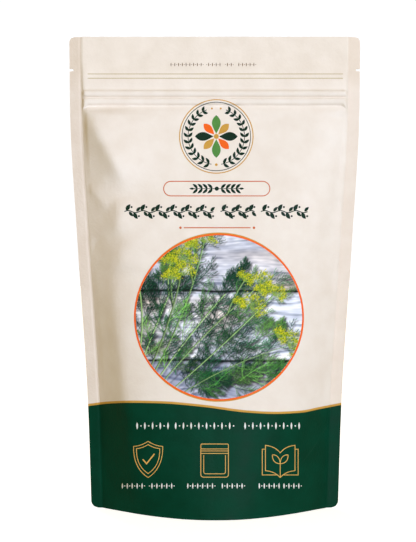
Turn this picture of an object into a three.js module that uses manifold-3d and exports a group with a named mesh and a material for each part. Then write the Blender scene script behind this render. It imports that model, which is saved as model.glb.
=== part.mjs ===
// A filled stand-up pouch of herb seeds: two laminate panels welded along their sides and top, a folded
// gusset film that opens into the base, a press-to-close zip with two ribs, and the heap of seeds inside.
// Millimetres, +Z up, +X to the right of the printed front, the front facing -Y.
// The origin is the middle of the base, in the plane that the pouch stands on.

import * as THREE from "three";
import { mergeVertices } from "three/addons/utils/BufferGeometryUtils.js";
import Module from "manifold-3d";

const wasm = await Module();
wasm.setup();

// Driving dimensions of the film and its welds
const POUCH_HEIGHT = 210;
const FILM = 0.4;
const GAP = 0.3;
const SIDE_SEAL = 5.4;
const TOP_SEAL_START = 200;
const TOP_CORNER = 2.2;
const BASE_CORNER = 3;
const NOTCH_HEIGHT = 195.4;
const NOTCH_DEPTH = 1.8;
const NOTCH_HALF = 0.65;
const NOTCH_LIP = 0.15;

// How the filled pouch swells. Each ladder is [height, value] steps, joined by a smooth curve.
const HALF_WIDTHS = [[0, 55.1], [45, 56.6], [119, 61.4], [178, 64.7], [POUCH_HEIGHT, 65]];
const HALF_DEPTHS = [
  [0, 27.3], [45, 25.4], [119, 17.2], [160, 8], [176, 2.6], [180, 1.2],
  [187, 1.2], [196, 0.4], [TOP_SEAL_START, 0], [POUCH_HEIGHT, 0],
];
const FULLNESSES = [[0, 2], [60, 2.4], [119, 3], [160, 4.5], [174, 9], [179.5, 70], [POUCH_HEIGHT, 70]];
const EDGE_SOFTNESS = 1.3;

// Press-to-close zip: two ribs in two channels, on flanges as tall as the zip
const ZIP_BOTTOM = 179.6;
const ZIP_TOP = 187;
const ZIP_HALF_LENGTH = 56;
const RIB_HEIGHTS = [181.65, 184.85];
const RIDGE_HALF = 0.95;
const RIDGE_RAMP = 0.6;
const RIDGE_RISE = 0.6;
const RIDGE_END = 0.955;
const FLANGE_OUTER = 1.05;
const FLANGE_INNER = 0.65;
const BEAD = 0.5;
const BEAD_HALF = 0.9;
const CHANNEL_HALF = 0.55;
const CHANNEL_REACH = 0.35;
const RIB_HALF = 0.25;
const RIB_REACH = 0.3;

// Base gusset: a film folded at GUSSET_FOLD above the bottom edge, welded up to a U-shaped line.
// Where the pouch is narrow its slack can't drop, so the sag grows with the reach from front to back.
const GUSSET_FOLD = 40;
const WELD_MIDDLE = 7;
const WELD_CURVE = 2.4;
const GUSSET_END = 0.97;
const GUSSET_FLOOR = 1.6;
const FOLD_RADIUS = 1.5;
const SAG_FROM = 1.5;
const SAG_FULL_OVER = 6;

// Seeds: a heap up to SEED_LEVEL, with single seeds lying on it, each given by its three half lengths
const SEED_LEVEL = 104;
const HEAP_END = 0.9;
const SEED_CLEARANCE = 0.55;
const SEED_COUNT = 64;
const SEED_SIZE = [2.3, 1.2, 0.8];
const SEED_LIFT = 0.25;
const SEED_TILT = 0.3;
const SEED_SPREAD = 0.78;
const DRAW_SEED = 7;

// Where the surfaces are divided: heights, and shares of the way from the middle to a side weld
const PANEL_HEIGHTS = [
  0, 0.25, 0.9, BASE_CORNER, 8, 15, 23, 32, 42, 53, 65, 77, 90, 102, 114, 126, 137, 147, 156, 164,
  170, 175, 178.6,
];
const PANEL_TOP_HEIGHTS = [2.2, 0.7, 0.15, 0].map((below) => POUCH_HEIGHT - below);
const PANEL_SHARES = [0, 0.12, 0.24, 0.36, 0.48, 0.6, 0.71, 0.8, 0.87, 0.925, 0.965, 1];
const GUSSET_SHARES = [0, 0.14, 0.28, 0.41, 0.53, 0.64, 0.73, 0.81, 0.87, 0.92, GUSSET_END];
const SKIRT_SHARES = [0, 0.4, 0.8];
const FOLD_DEGREES = [180, 135, 90];
const BOWL_SHARES = [0.8, 0.6, 0.4, 0.2];
const HEAP_HEIGHTS = [0, 8, 17, 26, 35, 43, 52, 62, 72, 82, 93, SEED_LEVEL];
const HEAP_SHARES = [0, 0.2, 0.4, 0.58, 0.72, 0.83, HEAP_END];

// Numerical step for slopes
const STEP = 0.01;

// A smooth curve through [position, value] steps that never overshoots them.
function ladder(steps) {
  const secant = (i) => (steps[i + 1][1] - steps[i][1]) / (steps[i + 1][0] - steps[i][0]);
  const slope = (i) => {
    if (i === 0) return secant(0);
    if (i === steps.length - 1) return secant(i - 1);
    const before = secant(i - 1);
    const after = secant(i);
    return before * after > 0 ? (2 * before * after) / (before + after) : 0;
  };
  const slopes = steps.map((_, i) => slope(i));
  return (at) => {
    const clamped = Math.min(Math.max(at, steps[0][0]), steps[steps.length - 1][0]);
    let i = 0;
    while (i < steps.length - 2 && clamped > steps[i + 1][0]) i += 1;
    const span = steps[i + 1][0] - steps[i][0];
    const t = (clamped - steps[i][0]) / span;
    const rise = t * t * (3 - 2 * t);
    const start = t * (1 - t) * (1 - t) * span * slopes[i];
    const end = t * t * (t - 1) * span * slopes[i + 1];
    return steps[i][1] * (1 - rise) + steps[i + 1][1] * rise + start + end;
  };
}

const halfWidth = ladder(HALF_WIDTHS);
const halfDepth = ladder(HALF_DEPTHS);
const fullness = ladder(FULLNESSES);
const seamHalf = (z) => halfWidth(z) - SIDE_SEAL;

const clamp01 = (t) => Math.min(Math.max(t, 0), 1);
const smooth = (t) => clamp01(t) ** 2 * (3 - 2 * clamp01(t));

// How far the outer face of a panel stands from the middle plane, at a place seen from the front.
function faceDepth(x, z) {
  const share = Math.min(Math.abs(x) / seamHalf(z), 1);
  const swell = halfDepth(z) * (1 - share ** fullness(z)) ** EDGE_SOFTNESS;
  const along = smooth((1 - share) / (1 - RIDGE_END));
  const ridge = RIB_HEIGHTS.map((rib) => 1 - smooth((Math.abs(z - rib) - RIDGE_HALF) / RIDGE_RAMP));
  return GAP / 2 + FILM + swell + RIDGE_RISE * along * Math.max(...ridge);
}

// The outward normal of the front panel there.
function faceNormal(x, z) {
  const alongX = (faceDepth(x + STEP, z) - faceDepth(x - STEP, z)) / (2 * STEP);
  const alongZ = (faceDepth(x, z + STEP) - faceDepth(x, z - STEP)) / (2 * STEP);
  return new THREE.Vector3(-alongX, -1, -alongZ).normalize();
}

// A point that far inside the front panel's outer face.
function insideFace(x, z, inward) {
  const face = new THREE.Vector3(x, -faceDepth(x, z), z);
  return face.addScaledVector(faceNormal(x, z), -inward);
}

// A closed body between two grids of points with the same rows and columns.
// The first grid's outside is the side that its columns' direction crossed with its rows' points to.
function bodyBetween(first, second) {
  const rows = first.length;
  const columns = first[0].length;
  const points = [...first.flat(), ...second.flat()];
  const index = [];
  const at = (row, column, face) => face * rows * columns + row * columns + column;
  const quad = (a, b, c, d) => index.push(a, b, c, a, c, d);
  for (let r = 0; r + 1 < rows; r += 1) {
    for (let c = 0; c + 1 < columns; c += 1) {
      const corners = [[r, c], [r, c + 1], [r + 1, c + 1], [r + 1, c]];
      quad(...corners.map(([row, column]) => at(row, column, 0)));
      const [p, q, s, t] = corners.map(([row, column]) => at(row, column, 1));
      index.push(p, s, q, p, t, s);
    }
  }
  for (let r = 0; r + 1 < rows; r += 1) {
    quad(at(r, 0, 0), at(r + 1, 0, 0), at(r + 1, 0, 1), at(r, 0, 1));
    const last = columns - 1;
    quad(at(r + 1, last, 0), at(r, last, 0), at(r, last, 1), at(r + 1, last, 1));
  }
  for (let c = 0; c + 1 < columns; c += 1) {
    quad(at(0, c + 1, 0), at(0, c, 0), at(0, c, 1), at(0, c + 1, 1));
    const last = rows - 1;
    quad(at(last, c, 0), at(last, c + 1, 0), at(last, c + 1, 1), at(last, c, 1));
  }
  const geometry = new THREE.BufferGeometry().setFromPoints(points);
  geometry.setIndex(index);
  return geometry;
}

// Distances from the middle outwards, repeated on the other side.
function bothSides(shares) {
  const others = shares.filter((share) => share > 0).map((share) => -share);
  return [...others.reverse(), ...shares];
}

// How far the side edge stands in from the straight cut, at the rounded corners and the tear notch.
function edgeInset(z) {
  const cornerRise = (radius, toEdge) => radius - Math.sqrt(radius ** 2 - (radius - toEdge) ** 2);
  if (z < BASE_CORNER) return cornerRise(BASE_CORNER, z);
  if (z > POUCH_HEIGHT - TOP_CORNER) return cornerRise(TOP_CORNER, POUCH_HEIGHT - z);
  return Math.abs(z - NOTCH_HEIGHT) < NOTCH_HALF - NOTCH_LIP / 2 ? NOTCH_DEPTH : 0;
}

// One printed panel, from its bottom edge to its top edge.
function panelGeometry() {
  const ridgeRows = RIB_HEIGHTS.flatMap((rib) =>
    [-RIDGE_HALF - RIDGE_RAMP, -RIDGE_HALF, RIDGE_HALF, RIDGE_HALF + RIDGE_RAMP].map((dz) => rib + dz));
  const notchRows = [-NOTCH_HALF, -NOTCH_HALF + NOTCH_LIP, NOTCH_HALF - NOTCH_LIP, NOTCH_HALF]
    .map((dz) => NOTCH_HEIGHT + dz);
  const betweenZipAndNotch = (ZIP_TOP + NOTCH_HEIGHT) / 2;
  const rows = [
    ...PANEL_HEIGHTS, ...ridgeRows, betweenZipAndNotch, ...notchRows, TOP_SEAL_START, ...PANEL_TOP_HEIGHTS,
  ];
  const shares = bothSides(PANEL_SHARES);
  const columnsAt = (z) => {
    const edge = halfWidth(z) - edgeInset(z);
    return [-edge, ...shares.map((share) => share * seamHalf(z)), edge];
  };
  const grid = (inward) => rows.map((z) => columnsAt(z).map((x) => {
    const point = insideFace(x, z, inward);
    return z === 0 || z === POUCH_HEIGHT ? point.setZ(z) : point;
  }));
  return bodyBetween(grid(0), grid(FILM));
}

// The gusset film's middle line at one station across the pouch, from the front weld over to the back.
function gussetLine(station) {
  const weld = WELD_MIDDLE + (GUSSET_FOLD - WELD_MIDDLE) * Math.abs(station) ** WELD_CURVE;
  const onPanel = (z) => insideFace(station * seamHalf(z), z, 1.5 * FILM + GAP);
  const rim = onPanel(weld);
  const reach = -rim.y;
  const radius = Math.min(FOLD_RADIUS, reach * 0.98);
  const free = GUSSET_FOLD - weld;
  const slack = Math.sqrt(Math.max(free ** 2 - reach ** 2, 0)) * smooth((reach - SAG_FROM) / SAG_FULL_OVER);
  const floor = Math.max(GUSSET_FLOOR, weld - slack);
  const skirt = SKIRT_SHARES.map((share) => onPanel(share * (weld - radius)));
  skirt[0].setZ(0);
  const turn = FOLD_DEGREES.map((degrees) => {
    const angle = THREE.MathUtils.degToRad(degrees);
    const y = -reach + radius + radius * Math.cos(angle);
    return new THREE.Vector3(rim.x, y, weld - radius + radius * Math.sin(angle));
  });
  const bowl = BOWL_SHARES.map((share) =>
    new THREE.Vector3(rim.x, -(reach - radius) * share, floor + (weld - floor) * smooth(share)));
  const front = [...skirt, ...turn, ...bowl];
  const middle = new THREE.Vector3(rim.x, 0, floor);
  const back = front.map((point) => new THREE.Vector3(point.x, -point.y, point.z)).reverse();
  return [...front, middle, ...back];
}

// The normal at one point of a grid, from its neighbours.
function gridNormal(grid, row, column) {
  const within = (i, count) => Math.min(Math.max(i, 0), count - 1);
  const pick = (r, c) => grid[within(r, grid.length)][within(c, grid[0].length)];
  const alongRows = pick(row + 1, column).clone().sub(pick(row - 1, column));
  const alongColumns = pick(row, column + 1).clone().sub(pick(row, column - 1));
  return alongColumns.cross(alongRows).normalize();
}

const gussetLines = bothSides(GUSSET_SHARES).map(gussetLine);

// The gusset's face that far from the film's middle, on its lower side if positive.
function gussetFace(offset) {
  return gussetLines.map((line, row) => line.map((point, column) => {
    const moved = point.clone().addScaledVector(gridNormal(gussetLines, row, column), offset);
    return point.z === 0 ? moved.setZ(0) : moved;
  }));
}

function gussetGeometry() {
  return bodyBetween(gussetFace(FILM / 2), gussetFace(-FILM / 2));
}

// One half of the zip, as a section in the plane across it, drawn as [height, distance from the middle].
function zipGeometry(innerShape) {
  const beads = RIB_HEIGHTS.slice().reverse().flatMap((rib) => [
    [rib + BEAD_HALF, FLANGE_OUTER], [rib + BEAD_HALF - 0.2, FLANGE_OUTER + BEAD],
    [rib - BEAD_HALF + 0.2, FLANGE_OUTER + BEAD], [rib - BEAD_HALF, FLANGE_OUTER],
  ]);
  const section = [
    [ZIP_BOTTOM, FLANGE_OUTER], [ZIP_BOTTOM, FLANGE_INNER],
    ...RIB_HEIGHTS.flatMap(innerShape),
    [ZIP_TOP, FLANGE_INNER], [ZIP_TOP, FLANGE_OUTER], ...beads,
  ];
  const outline = new THREE.Shape(section.map(([height, away]) => new THREE.Vector2(-away, height)));
  const geometry = new THREE.ExtrudeGeometry(outline, { depth: 2 * ZIP_HALF_LENGTH, bevelEnabled: false });
  geometry.translate(0, 0, -ZIP_HALF_LENGTH);
  const toFrame = new THREE.Matrix4().makeBasis(
    new THREE.Vector3(0, 1, 0), new THREE.Vector3(0, 0, 1), new THREE.Vector3(1, 0, 0));
  return geometry.applyMatrix4(toFrame);
}

// Two prongs round each channel
const channelShape = (rib) => [
  [rib - BEAD_HALF, FLANGE_INNER], [rib - BEAD_HALF, -CHANNEL_REACH],
  [rib - CHANNEL_HALF, -CHANNEL_REACH], [rib - CHANNEL_HALF, FLANGE_INNER],
  [rib + CHANNEL_HALF, FLANGE_INNER], [rib + CHANNEL_HALF, -CHANNEL_REACH],
  [rib + BEAD_HALF, -CHANNEL_REACH], [rib + BEAD_HALF, FLANGE_INNER],
];

// One rib that presses into each channel
const ribShape = (rib) => [
  [rib - RIB_HALF, FLANGE_INNER], [rib - RIB_HALF, -RIB_REACH],
  [rib + RIB_HALF, -RIB_REACH], [rib + RIB_HALF, FLANGE_INNER],
];

// Between three.js geometry and solids that can be joined and cut
function toSolid(geometry) {
  const bare = geometry.clone();
  bare.deleteAttribute("normal");
  bare.deleteAttribute("uv");
  const merged = mergeVertices(bare, 1e-4);
  return new wasm.Manifold(new wasm.Mesh({
    numProp: 3,
    vertProperties: merged.attributes.position.array,
    triVerts: new Uint32Array(merged.index.array),
  }));
}

function toGeometry(solid) {
  const mesh = solid.getMesh();
  const geometry = new THREE.BufferGeometry();
  geometry.setAttribute("position", new THREE.BufferAttribute(mesh.vertProperties, 3));
  geometry.setIndex(new THREE.BufferAttribute(mesh.triVerts, 1));
  return geometry;
}

// Repeatable draws from 0 to 1
function seededDraws(seed) {
  let state = seed;
  return () => {
    state = (state * 1664525 + 1013904223) % 4294967296;
    return state / 4294967296;
  };
}

// How far in from the panel's outer face the seeds stay: more below the fold, where the gusset lies between.
const insetByGusset = 2 * FILM + 2 * GAP + SEED_CLEARANCE;
const insetByPanel = FILM + SEED_CLEARANCE;
const seedInset = ladder([
  [0, insetByGusset], [GUSSET_FOLD + 3, insetByGusset], [GUSSET_FOLD + 12, insetByPanel],
  [POUCH_HEIGHT, insetByPanel],
]);

// The heap's side walls, front and back, up to its level top.
function heapGeometry() {
  const front = HEAP_HEIGHTS.map((z) => bothSides(HEAP_SHARES).map((share) =>
    insideFace(share * seamHalf(z), z, seedInset(z)).setZ(z)));
  const back = front.map((row) => row.map((point) => new THREE.Vector3(point.x, -point.y, point.z)));
  return bodyBetween(front, back);
}

// Everything above the gusset, clear of its film, to trim the heap's underside with.
// It runs level past the bowl's rim on all sides, well outside the pouch.
function overGussetGeometry() {
  const above = gussetFace(-FILM / 2 - SEED_CLEARANCE);
  const rimAt = SKIRT_SHARES.length + FOLD_DEGREES.length - 1;
  const bottom = above.map((line) => {
    const bowl = line.slice(rimAt, line.length - rimAt);
    const rim = bowl[0];
    const outside = rim.y - GUSSET_FOLD;
    return [new THREE.Vector3(rim.x, outside, rim.z), ...bowl, new THREE.Vector3(rim.x, -outside, rim.z)];
  });
  const aboveFold = GUSSET_FOLD + 2 * SEED_CLEARANCE;
  const pastEnd = (line, x) => line.map((point) => new THREE.Vector3(x, point.y, aboveFold));
  bottom.unshift(pastEnd(bottom[0], -POUCH_HEIGHT));
  bottom.push(pastEnd(bottom[bottom.length - 1], POUCH_HEIGHT));
  const top = bottom.map((line) => line.map((point) => new THREE.Vector3(point.x, point.y, POUCH_HEIGHT)));
  return bodyBetween(bottom, top);
}

// The heap with single seeds lying half sunk in its top.
function seedsGeometry() {
  let heap = toSolid(heapGeometry()).intersect(toSolid(overGussetGeometry()));
  const draw = seededDraws(DRAW_SEED);
  const eitherWay = () => 2 * draw() - 1;
  for (let n = 0; n < SEED_COUNT; n += 1) {
    const x = eitherWay() * SEED_SPREAD * seamHalf(SEED_LEVEL);
    const y = eitherWay() * SEED_SPREAD * faceDepth(x, SEED_LEVEL);
    const seed = new THREE.OctahedronGeometry(1, 0);
    seed.scale(...SEED_SIZE);
    seed.rotateY(eitherWay() * SEED_TILT);
    seed.rotateZ(draw() * Math.PI);
    seed.translate(x, y, SEED_LEVEL + SEED_LIFT);
    heap = heap.add(toSolid(seed));
  }
  return toGeometry(heap);
}

// Colours and surfaces
const creamFilm = new THREE.MeshStandardMaterial({ color: 0xefe5d9, roughness: 0.72, metalness: 0 });
const greenFilm = new THREE.MeshStandardMaterial({ color: 0x123f2f, roughness: 0.6, metalness: 0 });
const clearPlastic = new THREE.MeshStandardMaterial({ color: 0xe9ecec, roughness: 0.35, metalness: 0 });
const seedCoat = new THREE.MeshStandardMaterial({ color: 0x8a6b45, roughness: 0.9, metalness: 0 });

const pouch = new THREE.Group();

function addPiece(name, geometry, material, turn = 0) {
  const mesh = new THREE.Mesh(geometry, material);
  mesh.name = name;
  mesh.rotation.z = turn;
  pouch.add(mesh);
}

// The back panel is cut and formed as the front one is, and so it is the same piece turned round.
addPiece("front_panel", panelGeometry(), creamFilm);
addPiece("back_panel", panelGeometry(), creamFilm, Math.PI);
addPiece("bottom_gusset", gussetGeometry(), greenFilm);
addPiece("zip_channel_track", zipGeometry(channelShape), clearPlastic);
addPiece("zip_rib_track", zipGeometry(ribShape), clearPlastic, Math.PI);
addPiece("seed_heap", seedsGeometry(), seedCoat);

export default pouch;
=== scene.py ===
"""A filled stand-up seed pouch of soft matt film, printed in cream, green and gold, on a white ground.

The film panels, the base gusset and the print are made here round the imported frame, from the same
dimensions as the solids. Shapes are worked out in millimetres and handed to Blender in metres.
The print is drawn flat, in the plane of the pouch's welds, as it is seen from the front.
"""

import math

import bpy
import numpy as np
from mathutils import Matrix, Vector


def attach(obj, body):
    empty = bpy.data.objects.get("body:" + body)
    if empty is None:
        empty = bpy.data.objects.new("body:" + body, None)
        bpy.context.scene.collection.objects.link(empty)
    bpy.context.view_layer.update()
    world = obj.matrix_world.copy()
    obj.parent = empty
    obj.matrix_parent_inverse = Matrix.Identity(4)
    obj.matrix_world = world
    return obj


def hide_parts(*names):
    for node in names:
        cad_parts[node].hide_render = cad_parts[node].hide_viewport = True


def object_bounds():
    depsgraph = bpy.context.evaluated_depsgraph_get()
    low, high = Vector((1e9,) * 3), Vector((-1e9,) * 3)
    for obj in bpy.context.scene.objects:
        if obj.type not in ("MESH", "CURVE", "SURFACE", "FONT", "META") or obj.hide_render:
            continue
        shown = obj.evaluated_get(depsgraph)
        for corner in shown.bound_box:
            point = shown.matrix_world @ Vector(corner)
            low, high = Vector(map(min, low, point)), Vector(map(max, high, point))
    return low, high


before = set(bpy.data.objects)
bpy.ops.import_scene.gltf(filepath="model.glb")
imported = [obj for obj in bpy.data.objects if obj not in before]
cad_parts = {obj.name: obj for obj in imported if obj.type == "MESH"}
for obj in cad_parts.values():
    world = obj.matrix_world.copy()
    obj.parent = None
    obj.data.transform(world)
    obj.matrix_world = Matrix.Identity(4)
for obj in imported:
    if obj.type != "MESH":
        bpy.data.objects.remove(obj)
cad_box = [list(corner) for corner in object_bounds()]

MM = 0.001
POUCH_HEIGHT = cad_box[1][2] / MM

# The film and its welds
FILM = 0.2
WELD_GAP = 0.3
SIDE_SEAL = 5.4
TOP_CORNER = 2.2
BASE_CORNER = 3
NOTCH_HEIGHT = 195.4
NOTCH_DEPTH = 1.8
NOTCH_HALF = 0.6
NOTCH_LIP = 0.08
WELD_STEP = 0.3
WELD_STEP_OVER = 0.7
GROOVE_DEPTH = 0.14
GROOVE_FROM_SEAM = 0.6
GROOVE_HALF = 0.4
FIN_BEND = 1.3

# How the filled pouch swells, as [height, value] steps
HALF_WIDTHS = [(0, 55.1), (45, 56.6), (119, 61.4), (178, 64.7), (POUCH_HEIGHT, 65)]
HALF_DEPTHS = [
    (0, 27.3), (45, 25), (119, 16.6), (160, 7.7), (176, 2.6), (180, 1.2),
    (187, 1.2), (196, 0.4), (200, 0), (POUCH_HEIGHT, 0),
]
FULLNESSES = [
    (0, 2), (45, 3.1), (84, 3.6), (119, 3.9), (160, 5.4), (174, 10), (179.5, 70), (POUCH_HEIGHT, 70),
]
EDGE_SOFTNESS = 1.15

# The zip's relief in the film, as [height, how far it stands out] steps.
# Its foot bends down at both ends.
ZIP_RELIEF = [
    (177.6, 0), (179.1, -0.3), (179.95, 1), (180.8, 1.35), (181.6, 1.5), (182.15, 1.3), (182.8, 0.15),
    (183.45, 1.3), (184.4, 1.6), (185.3, 1.4), (186.25, 0.35), (187.6, 0.1), (190, 0),
]
ZIP_END = 0.972
ZIP_FOOT = 181.6
FOOT_BEND = 1.8
FOOT_BEND_OVER = 3.2
FOOT_BEND_RAMP = 1.5

# The base gusset
GUSSET_FOLD = 40
WELD_MIDDLE = 7
WELD_CURVE = 2.4
GUSSET_END = 0.97
GUSSET_FLOOR = 1.6
FOLD_RADIUS = 1.5
FOLD_SHARE = 0.98
SAG_FROM = 1.5
SAG_FULL_OVER = 6
GUSSET_INSET = 0.65

# The bowl's unevenness, where it hangs free of the floor and of the panels
BOWL_UNEVEN = 0.25
BOWL_PATCH, BOWL_SHIFT, BOWL_SEED = 6, 60, 41
FREE_ABOVE, ABOVE_FADE = 1, 3
FREE_INSIDE, INSIDE_FADE = 20, 6

# Where the print is seen from, and the camera with it
EYE_X = -3
EYE_Z = 105.6
EYE_DISTANCE = 545
EYE_ROUNDS = 5
LENS = 81.12
SENSOR = 36
CLIP_START = 0.01

# Mesh fineness: sizes in mm, and counts
CELL = 0.85
FINE_CELL = 0.2
FINE_FROM = 178
FINE_TO = 190
NOTCH_CLEARANCE = 1
CORNER_CLEARANCE = 0.3
BASE_CORNER_ROWS = 8
TOP_CORNER_ROWS = 7
SLOPE_STEP = 0.05
PICTURE_CELL = 0.3
MIDDLE_COLUMNS = 117
SEAM_ZONE = 3.4
SEAM_COLUMNS = (2.8, 2.2, 1.7, 1.3, 1, 0.75, 0.5, 0.3, 0.1)
WELD_COLUMNS = (0, 0.2, 0.4, 0.6, 0.8, 1, 1.3, 1.8, 2.5, 3.4, 4.3, 5, 5.4)
GUSSET_STATIONS = 91
GUSSET_COLUMNS = 14
TURN_STEPS = 7


def ladder(steps):
    """A smooth curve through (position, value) steps that never overshoots them."""
    at, value = np.array(steps, float).T
    secant = np.diff(value) / np.diff(at)
    before, after = secant[:-1], secant[1:]
    same_way = before * after > 0
    mean = 2 * before * after / np.where(same_way, before + after, 1)
    slope = np.concatenate([secant[:1], np.where(same_way, mean, 0), secant[-1:]])

    def curve(position):
        clamped = np.clip(position, at[0], at[-1])
        i = np.clip(np.searchsorted(at, clamped) - 1, 0, len(at) - 2)
        span = at[i + 1] - at[i]
        t = (clamped - at[i]) / span
        rise = t * t * (3 - 2 * t)
        start = t * (1 - t) ** 2 * span * slope[i]
        end = t * t * (t - 1) * span * slope[i + 1]
        return value[i] * (1 - rise) + value[i + 1] * rise + start + end

    return curve


half_width = ladder(HALF_WIDTHS)
half_depth = ladder(HALF_DEPTHS)
fullness = ladder(FULLNESSES)
zip_relief = ladder(ZIP_RELIEF)


def seam_half(z):
    """Half the width between the side welds."""
    return half_width(z) - SIDE_SEAL


def smooth(t):
    """0 below 0, 1 above 1, and a smooth rise between."""
    t = np.clip(t, 0, 1)
    return t * t * (3 - 2 * t)


def from_weld_edge(x, z):
    """How far a place is inside the side welds. It is less than 0 in them."""
    return seam_half(z) - np.abs(x)


def film_depth(x, z):
    """How far a panel's outer face stands from the middle plane, before its folds."""
    share = np.minimum(np.abs(x) / seam_half(z), 1)
    swell = half_depth(z) * (1 - share ** fullness(z)) ** EDGE_SOFTNESS
    inside = from_weld_edge(x, z)
    step = WELD_STEP * smooth(inside / WELD_STEP_OVER)
    groove = GROOVE_DEPTH * np.exp(-((inside + GROOVE_FROM_SEAM) / GROOVE_HALF) ** 2)
    bent = FOOT_BEND * (1 - smooth(inside / FOOT_BEND_OVER)) * smooth((ZIP_FOOT - z) / FOOT_BEND_RAMP)
    zipped = smooth((1 - share) / (1 - ZIP_END)) * zip_relief(z + bent)
    return WELD_GAP / 2 + FILM + swell + step - groove + zipped


# How much wider a fold is on its right, looking along its heading, how round its crest is,
# and how evenly it keeps its height towards its ends
GENTLE_SIDE = 2
CREST_ROUNDING = 0.75
END_POWER = 4

# Folds of the front film, each as its middle, its heading in degrees, its half length and half width,
# and how far it stands out, all in mm. They are strongest where the wall leaves the left weld.
FRONT_FOLDS = [
    (-47.6, 160.5, 118, 17, 4.4, 6.2), (-44, 141.5, 176, 9, 3, 0.5),
    (-42, 129.5, 84, 8, 3.8, 2.8), (-51.6, 138.2, 129, 6, 1.6, 1.3),
    (-53.4, 117.5, 50, 4, 1.4, -0.6), (-40.2, 114, 86, 8, 4.5, 2.2),
    (-39.2, 56, 96, 52, 4.4, 3.5), (52, 131, 54, 8, 1.8, -1.1),
    (47.5, 116, 62, 9, 2, -1), (52.5, 104, 70, 8, 1.6, -0.6),
    (56, 158, 82, 16, 1.8, -0.7), (48, 168, 150, 9, 2, 0.6),
    (20, 172, 8, 22, 2.4, -0.3), (-24, 173, 176, 16, 2.4, 0.2),
    (-8, 24, 174, 30, 4, -0.12), (38, 18, 100, 10, 3, -0.15),
]
BACK_FOLDS = [
    (52, 155, 82, 14, 4, -0.9), (46, 143, 12, 11, 3, 0.7),
    (48, 132, 80, 8, 3.4, -0.7), (-51, 150, 100, 12, 3.6, -0.8),
    (-46, 136, 165, 10, 3, 0.6), (-49, 118, 96, 10, 3, -0.4),
    (12, 168, 4, 26, 3, -0.3), (-20, 120, 30, 12, 2.2, 0.25),
    (24, 88, 140, 14, 2.6, -0.25), (-30, 60, 70, 12, 3, -0.2),
]


def crease(x, z, fold):
    """A fold's height at each place: steep on its left, gentle on its right, even almost to its ends."""
    middle_x, middle_z, degrees, half_length, half_width_across, height = fold
    heading = math.radians(degrees)
    along = (x - middle_x) * math.cos(heading) + (z - middle_z) * math.sin(heading)
    across = (z - middle_z) * math.cos(heading) - (x - middle_x) * math.sin(heading)
    crest = CREST_ROUNDING * half_width_across
    rounded = np.sqrt(across ** 2 + crest ** 2) - crest
    reach = np.where(across > 0, half_width_across, GENTLE_SIDE * half_width_across)
    return height * np.exp(-rounded / reach - (along / half_length) ** END_POWER)


# The small creases that handling leaves all over the film: how many, and the spans of their
# x, z, heading in degrees, half length, half width and height
CREASE_COUNT = 50
CREASE_SPANS = ((-58, 58), (4, POUCH_HEIGHT - 4), (0, 180), (4, 13), (1.2, 3), (-0.13, 0.13))


def random_folds(seed):
    """Small creases at random places, the same for the same seed."""
    draw = np.random.default_rng(seed)
    return [tuple(draw.uniform(*span) for span in CREASE_SPANS) for _ in range(CREASE_COUNT)]


def lattice_noise(x, z, cell, seed):
    """Smooth random heights from -1 to 1, about a cell apart."""
    size = 97
    heights = np.random.default_rng(seed).uniform(-1, 1, (size, size))
    column, row = np.asarray(x) / cell + size, np.asarray(z) / cell
    left, low = np.floor(column).astype(int), np.floor(row).astype(int)
    across, up = smooth(column - left), smooth(row - low)

    def height(shift_x, shift_z):
        return heights[(low + shift_z) % size, (left + shift_x) % size]

    near = height(0, 0) * (1 - across) + height(1, 0) * across
    far = height(0, 1) * (1 - across) + height(1, 1) * across
    return near * (1 - up) + far * up


# Where the folds fade out: at the welds, below the zip and at the base
FOLDS_FROM_SEAM = 3
FOLDS_TOP, TOP_FADE = 179, 5
FOLDS_BASE, BASE_FADE = -4, 14

# The unevenness, as (height, patch size) pairs. It and the small creases are calmer at the zip.
UNEVEN = ((0.14, 11), (0.05, 4.5))
UNEVEN_FROM_SEAM = 4
ZIP_MIDDLE, CALM_HALF, CALM_FADE = 183, 4, 8
CALM_AT_ZIP = 0.35


def panel_depth(folds, seed, bend):
    """A panel's outer face with its folds. Bend is how far its fins' edges stand out."""
    small = random_folds(seed)

    def depth(x, z):
        from_seam = np.maximum(from_weld_edge(x, z), 0)
        body = smooth(from_seam / FOLDS_FROM_SEAM) * smooth((FOLDS_TOP - z) / TOP_FADE)
        body = body * smooth((z - FOLDS_BASE) / BASE_FADE)
        from_zip = smooth((np.abs(z - ZIP_MIDDLE) - CALM_HALF) / CALM_FADE)
        anywhere = smooth(from_seam / UNEVEN_FROM_SEAM) * (CALM_AT_ZIP + (1 - CALM_AT_ZIP) * from_zip)
        designed = sum(crease(x, z, fold) for fold in folds)
        handled = sum(crease(x, z, fold) for fold in small)
        uneven = sum(
            height * lattice_noise(x, z, cell, seed + n) for n, (height, cell) in enumerate(UNEVEN, 1))
        fin = bend * np.clip(-from_weld_edge(x, z) / SIDE_SEAL, 0, 1)
        return film_depth(x, z) + body * designed + anywhere * (handled + uneven) + fin

    return depth


front_depth = panel_depth(FRONT_FOLDS, seed=11, bend=-FIN_BEND)
back_depth = panel_depth(BACK_FOLDS, seed=23, bend=FIN_BEND)


def face_normal(x, z, depth):
    """The outward normal of the front face at each place."""
    slope_x = (depth(x + SLOPE_STEP, z) - depth(x - SLOPE_STEP, z)) / (2 * SLOPE_STEP)
    slope_z = (depth(x, z + SLOPE_STEP) - depth(x, z - SLOPE_STEP)) / (2 * SLOPE_STEP)
    normal = np.stack([-slope_x, -np.ones_like(slope_x), -slope_z], -1)
    return normal / np.linalg.norm(normal, axis=-1, keepdims=True)


def film_points(x, z, depth, *lifts):
    """The points that far outside the front face, for each lift."""
    face = np.stack([x, -depth(x, z), z], -1)
    normal = face_normal(x, z, depth)
    return np.stack([face + lift * normal for lift in lifts])


def turned(points):
    """The same points on the back of the pouch."""
    return points * np.array([-1, -1, 1])


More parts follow.
